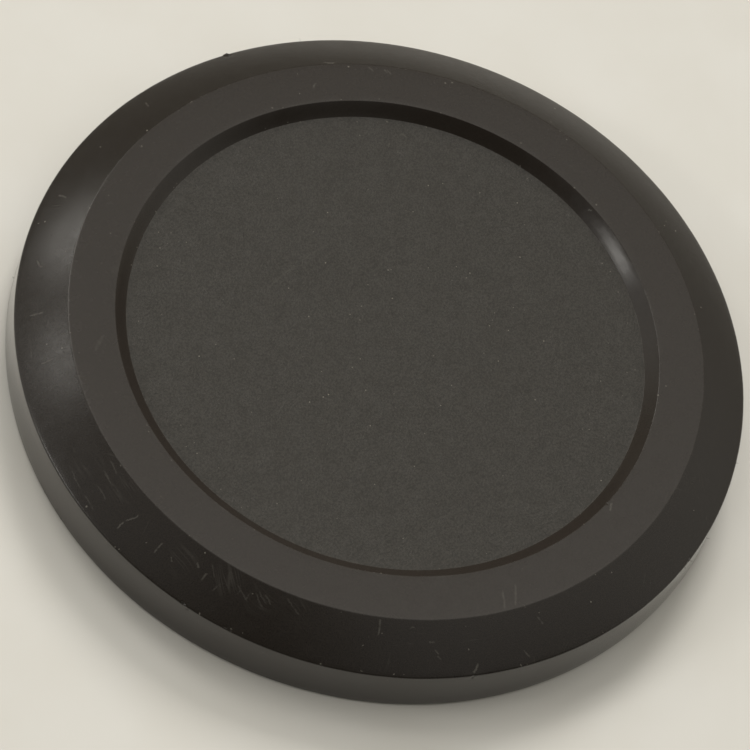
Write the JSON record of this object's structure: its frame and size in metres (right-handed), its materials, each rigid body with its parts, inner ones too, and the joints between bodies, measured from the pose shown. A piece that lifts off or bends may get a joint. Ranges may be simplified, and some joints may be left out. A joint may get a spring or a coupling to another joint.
{
  "type": "slip-on lens cap",
  "caption": "Round one-piece slip-on cap for the front rim of a lens: low skirt, sloping band, flat ring and sunk centre panel, hollow behind.",
  "frame": {"origin": "centre of the circle on which the open rim of the skirt stands", "axes": "+Z along the cap's axis, out of the front face; +Y towards the gate mark on the edge, the 12 o'clock of the cap; +X to the right as the front is seen"},
  "size_m": [0.0574, 0.0575, 0.006],
  "materials": {
    "black_plastic": "hard black moulded plastic, satin on the skirt, band and ring, fine-grained on the sunk panel, with light scratches and nicks from use"
  },
  "bodies": {
    "root": {"cap": "black_plastic"}
  },
  "joints": []
}
